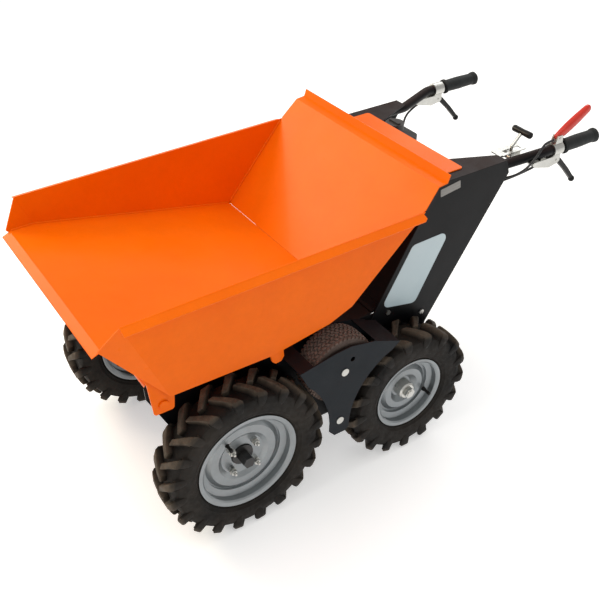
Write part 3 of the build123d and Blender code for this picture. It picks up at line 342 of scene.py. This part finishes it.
def lugged_tyre(side, s, which, y, z, crown, seat, flange, lugs):
    """An agricultural tyre: carcass below the lug tips, bars swept from the middle over each shoulder."""
    hw, d = 0.0520, 0.0185
    base = crown - d
    half = [(0.0330, seat), (0.0362, seat + 0.0027), (0.0376, flange - 0.001), (0.0393, flange + 0.002),
            (0.0428, flange + 0.0050), (0.0440, flange + 0.0058), (0.0436, flange + 0.0080), (0.0462, flange + 0.0130),
            (0.0478, flange + 0.0150), (0.0476, flange + 0.0180), (0.0492, flange + 0.0240), (0.0494, base - 0.026),
            (0.0482, base - 0.016), (0.0452, base - 0.0085), (0.0400, base - 0.0048), (0.0300, base - 0.0022), (0.0150, base - 0.0006)]
    inner = [(0.0215, seat), (0.0400, seat + 0.42 * (crown - seat) * 0.9), (0.0400, base - 0.030), (0.0330, base - 0.014), (0.0, base - 0.010)]
    prof = half + [(0.0, base)] + [(-x, r) for x, r in reversed(half)]
    prof += [(-x, r) for x, r in inner[:-1]] + [inner[-1]] + [(x, r) for x, r in reversed(inner[:-1])]
    v, f = lathe(prof, 108)
    pitch = 2 * math.pi / lugs
    # station: across, top radius, bottom radius, half width, lead along the tread
    st = [(-0.0050, crown - 0.0030, base - 0.004, 0.0078, 0.0), (-0.0020, crown - 0.0004, base - 0.004, 0.0088, 0.0),
          (0.0120, crown - 0.0001, base - 0.004, 0.0096, 0.012), (0.0260, crown - 0.0008, base - 0.006, 0.0106, 0.025),
          (0.0390, crown - 0.0020, base - 0.010, 0.0120, 0.036), (0.0470, crown - 0.0050, base - 0.016, 0.0132, 0.042),
          (0.0508, crown - 0.0120, base - 0.020, 0.0140, 0.0450), (0.0517, crown - 0.0240, base - 0.030, 0.0138, 0.0462),
          (0.0512, crown - 0.0380, base - 0.038, 0.0120, 0.0468), (0.0498, crown - 0.0480, base - 0.046, 0.0096, 0.0470)]
    for sgn in (1, -1):
        for i in range(lugs):
            a0 = pitch * (i + (0.5 if sgn < 0 else 0.0)) + rng.uniform(-0.004, 0.004)
            rings = []
            for q, (u, top, bot, w, lead) in enumerate(st):
                if q > 5:      # down the sidewall: the bar stands off sideways, and its foot is inside the wall
                    foot = 0.0440
                    pts = [(foot, top, -w * 1.15), (u - 0.0012, top, -w), (u, top, -w * 0.72), (u, top, w * 0.72), (u - 0.0012, top, w), (foot, top, w * 1.15)]
                else:
                    pts = [(u, bot, -w * 1.32), (u, top - 0.0022, -w * 1.02), (u, top, -w * 0.78), (u, top, w * 0.78), (u, top - 0.0022, w * 1.02), (u, bot, w * 1.32)]
                rings.append([polar(sgn * px, pr, a0 - (lead + t) / crown) for px, pr, t in pts])
            if sgn < 0:
                rings = [list(reversed(r)) for r in rings]
            add_tube(v, f, rings)
    mat = tyre_material(f"{which}_tyre_rubber_{side}", crown, d, (0.120, 0.092, 0.066), (0.0042, 0.0038, 0.0036), 50 + s + crown * 10)
    o = make(f"{which}_lugged_tyre_{side}", v, f, mat, f"{side}_{which}_wheel", at=(s * 0.292, y, z), angle=32)
    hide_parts(f"{which}_tyre_{side}")
    return o


def turf_tyre(side, s, y, z):
    crown, d, hw = 0.1000, 0.0042, 0.038
    base = crown - d
    half = [(0.0255, 0.0515), (0.0290, 0.0540), (0.0320, 0.0600), (0.0345, 0.0690), (0.0368, 0.0780), (0.0370, 0.0860), (0.0350, 0.0910), (0.0300, 0.0942), (0.0150, 0.0955)]
    lo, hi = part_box(f"idler_tyre_{side}")
    bead = 0.0515
    prof = half + [(0.0, base)] + [(-x, r) for x, r in reversed(half)] + [(-0.020, bead), (-0.028, 0.075), (-0.024, 0.086), (0.0, 0.089), (0.024, 0.086), (0.028, 0.075), (0.020, bead)]
    v, f = lathe(prof, 96)
    cols = [-0.0315, -0.0225, -0.0135, -0.0045, 0.0045, 0.0135, 0.0225, 0.0315]
    rows = 46
    for c, cx in enumerate(cols):
        drop = 0.0 if abs(cx) < 0.02 else (0.0012 if abs(cx) < 0.028 else 0.0040)
        slant = 0.0022 * (1 if c % 2 else -1)
        for i in range(rows):
            a0 = 2 * math.pi * (i + (0.5 if c % 2 else 0.0)) / rows
            rings = []
            for w, rr, h in ((0.0036, base - 0.006 - drop, 0.0046), (0.0034, crown - 0.0006 - drop, 0.0043), (0.0029, crown - drop, 0.0038)):
                rings.append([polar(cx + px, rr, a0 + (pt * h + slant * px / 0.0036) / crown) for px, pt in ((-w, -1), (w, -1), (w, 0), (w, 1), (-w, 1), (-w, 0))])
            add_tube(v, f, rings)
    mat = tyre_material(f"idler_rubber_{side}", crown, 0.012, (0.210, 0.150, 0.125), (0.0420, 0.0300, 0.0255), 80 + s)
    o = make(f"turf_tyre_{side}", v, f, mat, f"{side}_idler", at=(s * 0.296, y, z), angle=30)
    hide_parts(f"idler_tyre_{side}")
    return o


def valve(name, side, s, which, x, y, z, tilt):
    """Rubber valve stem with a ribbed cap, standing out of the rim."""
    prof = [(-0.004, 0.0), (-0.004, 0.0062), (0.002, 0.0062), (0.005, 0.0044), (0.015, 0.0038), (0.016, 0.0048), (0.0175, 0.0050),
            (0.019, 0.0046), (0.0205, 0.0050), (0.022, 0.0046), (0.0235, 0.0050), (0.026, 0.0040), (0.027, 0.0)]
    v, f = lathe(prof, 20, closed=False)
    v = [(s * a, b, c) for a, b, c in v]
    if s < 0:
        f = [tuple(reversed(q)) for q in f]
    o = make(name, v, f, M["hub"], f"{side}_{which}_wheel", at=(0, 0, 0), angle=35)
    o.parent = None
    o.matrix_world = Matrix.Translation((s * x, y, z)) @ tilt
    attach(o, f"{side}_{which}_wheel")
    return o


FY, RY, FZ, RZ = -0.435, 0.080, 0.2265, 0.200
FVY, FVZ = -0.0442, 0.0585      # valve places, from each wheel centre
RVX, RVY, RVZ = 0.312, 0.0740, -0.0380
for side, s in (("left", 1), ("right", -1)):
    lugged_tyre(side, s, "front", FY, FZ, 0.2265, 0.1280, 0.1400, 20)
    lugged_tyre(side, s, "rear", RY, RZ, 0.2000, 0.1010, 0.1100, 17)
    lo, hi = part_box(f"idler_tyre_{side}")
    c = (lo + hi) / 2
    turf_tyre(side, s, c.y, c.z)
    valve(f"front_valve_{side}", side, s, "front", 0.306, FY + s * FVY, FZ + FVZ, Matrix.Identity(4))
    valve(f"rear_valve_{side}", side, s, "rear", RVX, RY + s * RVY, RZ + RVZ, Matrix.Identity(4))



def oval_sweep(stations, seg=20):
    """Closed body through (centre, half width along X, half depth, depth direction) stations."""
    v, f, rings = [], [], []
    for c, wx, wd, d in stations:
        c, d = Vector(c), Vector(d).normalized()
        ring = []
        for i in range(seg):
            a = 2 * math.pi * i / seg
            ca, sa = math.cos(a), math.sin(a)
            e = 0.78
            ring.append(tuple(c + Vector((1, 0, 0)) * wx * math.copysign(abs(ca) ** e, ca) + d * wd * math.copysign(abs(sa) ** e, sa)))
        rings.append(ring)
    add_tube(v, f, rings)
    return v, f


def plate_solid(points, x0, x1):
    """Closed flat plate with outline points (y, z), between two X values."""
    n = len(points)
    v = [(x0, y, z) for y, z in points] + [(x1, y, z) for y, z in points]
    f = [tuple(range(n)), tuple(range(2 * n - 1, n - 1, -1))] + [(i, n + i, n + (i + 1) % n, (i + 1) % n) for i in range(n)]
    return v, f


HX, PY, PZ = 0.246, 0.611, 0.732        # handle line and squeeze lever pivot
LY, LZ = 0.611, 0.796                   # red lever pivot
ax = Vector((0, 0.875, 0.485)).normalized()
dp = Vector((0, -0.485, 0.875)).normalized()
root = Vector((HX, LY + 0.026, LZ + 0.018))
sts = [(Vector((HX, LY - 0.009, LZ + 0.001)), 0.0058, 0.0080, dp), (Vector((HX, LY + 0.002, LZ + 0.005)), 0.0072, 0.0120, dp),
       (root - ax * 0.008, 0.0086, 0.0134, dp), (root + ax * 0.002, 0.0094, 0.0138, dp)]
for q, g in ((0.020, 1.12), (0.045, 1.09), (0.070, 1.0), (0.082, 0.94), (0.088, 0.86), (0.0915, 0.72), (0.0938, 0.50), (0.0948, 0.22)):
    sts.append((root + ax * q, 0.0088 * g, 0.0122 * g, dp))
v, f = oval_sweep(sts)
red = make("dipped_clutch_handle", v, f, M["red"], "clutch_lever", angle=60)
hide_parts("red_clutch_lever")

for side, s in (("left", 1), ("right", -1)):
    # folded zinc cable bracket under each handle
    out = [(PY - 0.096, PZ + 0.012), (PY - 0.090, PZ + 0.017), (PY - 0.016, PZ + 0.0160), (PY - 0.010, PZ + 0.004),
           (PY - 0.012, PZ - 0.010), (PY - 0.030, PZ - 0.0135), (PY - 0.088, PZ + 0.002)]
    for i, (xa, xb) in enumerate(((0.0110, 0.0128), (-0.0128, -0.0110))):
        v, f = plate_solid(out, s * HX + xa, s * HX + xb)
        o = make(f"cable_bracket_{side}_{i}", v, f, M["zinc"], "chassis", smooth=False)
        bv = o.modifiers.new("edge", "BEVEL")
        bv.width, bv.segments = 0.0006, 2
    v, f = plate_solid([(PY - 0.096, PZ + 0.012), (PY - 0.088, PZ + 0.002), (PY - 0.030, PZ - 0.0135), (PY - 0.030, PZ - 0.0117),
                        (PY - 0.0875, PZ + 0.0036), (PY - 0.0948, PZ + 0.0128)], s * HX - 0.0110, s * HX + 0.0110)
    o = make(f"cable_bracket_web_{side}", v, f, M["zinc"], "chassis", smooth=False)

def bead(name, pts, r, body, slot, mat):
    """A rippled weld bead along a polyline."""
    v, f, rings = [], [], []
    pts = [Vector(q) for q in pts]
    dense = []
    for a, b in zip(pts, pts[1:]):
        n = max(2, int((b - a).length / 0.0042))
        dense += [a.lerp(b, i / n) for i in range(n)]
    dense.append(pts[-1])
    for i, c in enumerate(dense):
        t = (dense[min(i + 1, len(dense) - 1)] - dense[max(i - 1, 0)]).normalized()
        u = t.cross(Vector((1, 0, 0))).normalized()
        w = t.cross(u).normalized()
        rr = r * (1.0 + 0.13 * (1 if i % 2 else -1) + rng.uniform(-0.06, 0.06)) * (0.5 if i in (0, len(dense) - 1) else 1.0)
        rings.append([tuple(c + u * rr * math.cos(2 * math.pi * k / 8) + w * rr * math.sin(2 * math.pi * k / 8)) for k in range(8)])
    add_tube(v, f, rings)
    return make(name, v, f, mat, body, angle=75)


def wall_at(z):
    return 0.299 + 0.085 * (z - 0.505)


FAY = -0.435
for side, s in (("left", 1), ("right", -1)):
    bead(f"rear_seam_{side}", [(s * (wall_at(0.563) - 0.0040), FAY + 0.3262, 0.5640), (s * (wall_at(0.764) - 0.0042), FAY + 0.5140, 0.7655)],
         0.0026, "tub", "tub_orange", M["orange"])
    bead(f"floor_seam_{side}", [(s * 0.2862, FAY - 0.306, 0.6872), (s * (wall_at(0.6733) - 0.0045), FAY - 0.2400, 0.6742), (s * (wall_at(0.562) - 0.0042), FAY + 0.3230, 0.5612)],
         0.0024, "tub", "tub_orange", M["orange"])

# sleeve on the selector's cross bar, and a deck angle that closes the joint under the tower front
lo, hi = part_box("gear_lever")
prof = [(-0.0330, 0.0), (-0.0330, 0.0066), (-0.0315, 0.0086), (-0.0285, 0.0094), (-0.0100, 0.0090), (0.0, 0.0086), (0.0100, 0.0090),
        (0.0285, 0.0094), (0.0315, 0.0086), (0.0330, 0.0066), (0.0330, 0.0)]
v, f = lathe(prof, 28, closed=False)
o = make("selector_sleeve", [(a + 0.186, b - 0.435 + 0.938 + 0.033, c + 0.808) for a, b, c in v], f, M["hub"], "gear_selector", angle=40)
v, f = plate_solid([(-0.435 + 0.4555, 0.4402), (-0.435 + 0.4620, 0.4402), (-0.435 + 0.4720, 0.4590), (-0.435 + 0.4690, 0.4605), (-0.435 + 0.4600, 0.4440), (-0.435 + 0.4480, 0.4432), (-0.435 + 0.4480, 0.4402)], -0.2275, 0.2275)
o = make("deck_angle", v, f, M["black"], "chassis", smooth=False)

# wheel nuts on their studs, front wheels
for side, s in (("left", 1), ("right", -1)):
    for i in range(4):
        a = math.pi / 4 + i * math.pi / 2
        cy, cz = FY + 0.048 * math.cos(a), FZ + 0.048 * math.sin(a)
        v, f = lathe([(0.3120, 0.0), (0.3120, 0.0098), (0.3132, 0.0098), (0.3134, 0.0086), (0.3188, 0.0086), (0.3202, 0.0072), (0.3202, 0.0)], 6, closed=False)
        w, g = lathe([(0.3190, 0.0), (0.3190, 0.0042)] + [(0.3195 + 0.0011 * j, 0.0042 if j % 2 else 0.0038) for j in range(7)] + [(0.3276, 0.0030), (0.3278, 0.0)], 14, closed=False)
        n = len(v)
        v = v + w
        f = f + [tuple(n + q for q in h) for h in g]
        v = [(s * px, cy + py, cz + pz) for px, py, pz in v]
        if s < 0:
            f = [tuple(reversed(h)) for h in f]
        make(f"wheel_nut_{side}_{i}", v, f, M["zinc"], f"{side}_front_wheel", angle=25)

# ---------------------------------------------------------------- softened sheet edges on CAD pieces
SHEETS = {"tub_floor": 0.0009, "tub_side_walls": 0.0009, "tub_rear_wall": 0.0009, "tub_ribs": 0.0007, "tower_side_plates": 0.0008,
          "tower_front_panel": 0.0008, "tower_top_cover": 0.0009, "idler_pods": 0.0010, "chassis_deck": 0.0009,
          "chassis_side_plates": 0.0009, "chassis_cross_members": 0.0008}
for n, w in SHEETS.items():
    o = NODES[n]
    weld = o.modifiers.new("weld", "WELD")
    weld.merge_threshold = 0.00002
    bev = o.modifiers.new("edge", "BEVEL")
    bev.width = w
    bev.segments = 2
    bev.limit_method = "ANGLE"
    bev.angle_limit = math.radians(35)
    bev.use_clamp_overlap = True
    bev.harden_normals = False

# ---------------------------------------------------------------- floor, light, camera
k = Mat("pale_floor")
fl = k.mix(k.remap(k.noise(1.5, 4, 0.5, None, 90), 0.3, 0.7), (0.86, 0.86, 0.86), (0.83, 0.83, 0.83))
k.bump(k.noise(60, 3, 0.5, None, 91), 0.02, 0.001)
floor_mat = k.done(fl, k.remap(k.noise(4, 3, 0.5, None, 92), 0.3, 0.7, 0.65, 0.8))
for soc in ("Emission Color",):
    k.b.inputs[soc].default_value = (1, 1, 1, 1)
k.b.inputs["Emission Strength"].default_value = 0.42
me = bpy.data.meshes.new("floor")
me.from_pydata([(-70, -70, 0), (70, -70, 0), (70, 70, 0), (-70, 70, 0)], [], [(0, 1, 2, 3)])
floor = bpy.data.objects.new("floor", me)
bpy.context.collection.objects.link(floor)
me.materials.append(floor_mat)
floor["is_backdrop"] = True


def area(name, loc, target, size, power, colour=(1, 1, 1)):
    li = bpy.data.lights.new(name, "AREA")
    li.shape = "RECTANGLE"
    li.size, li.size_y = size
    li.energy = power
    li.color = colour
    o = bpy.data.objects.new(name, li)
    bpy.context.collection.objects.link(o)
    o.location = loc
    o.rotation_euler = (Vector(target) - Vector(loc)).to_track_quat("-Z", "Y").to_euler()
    return o


area("key", (-0.4, -1.6, 4.2), (0, -0.1, 0.4), (2.6, 2.2), 58, (1.0, 0.97, 0.91))
area("sweep", (-2.4, -1.75, 2.15), (0, 0.05, 0.68), (1.9, 1.5), 62, (1.0, 0.86, 0.62))
area("side", (2.4, -0.5, 4.0), (0, 0, 0.4), (2.2, 1.6), 18, (1.0, 0.97, 0.91))
area("back", (-1.6, 3.2, 3.0), (0, 0.2, 0.5), (3.0, 2.0), 40)

world = bpy.data.worlds.new("studio")
world.use_nodes = True
bg = world.node_tree.nodes["Background"]
bg.inputs[0].default_value = (1.0, 0.99, 0.975, 1)
bg.inputs[1].default_value = 0.56
bpy.context.scene.world = world
bpy.context.scene.view_settings.view_transform = "Standard"

cam = bpy.data.cameras.new("camera")
cam.sensor_width = 36.0
cam.sensor_fit = "HORIZONTAL"
cam.lens = 53.27
cam.clip_start = 0.05
co = bpy.data.objects.new("camera", cam)
bpy.context.collection.objects.link(co)
right, up, back = Vector((0.5514, 0.8342, 0)), Vector((-0.4914, 0.3248, 0.808)), Vector((0.674, -0.4455, 0.589))
rot = Matrix((right, up, back)).transposed().to_quaternion().normalized().to_matrix().to_4x4()
co.matrix_world = Matrix.Translation((1.696, -1.183, 1.8545)) @ rot
bpy.context.scene.camera = co

lo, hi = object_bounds()
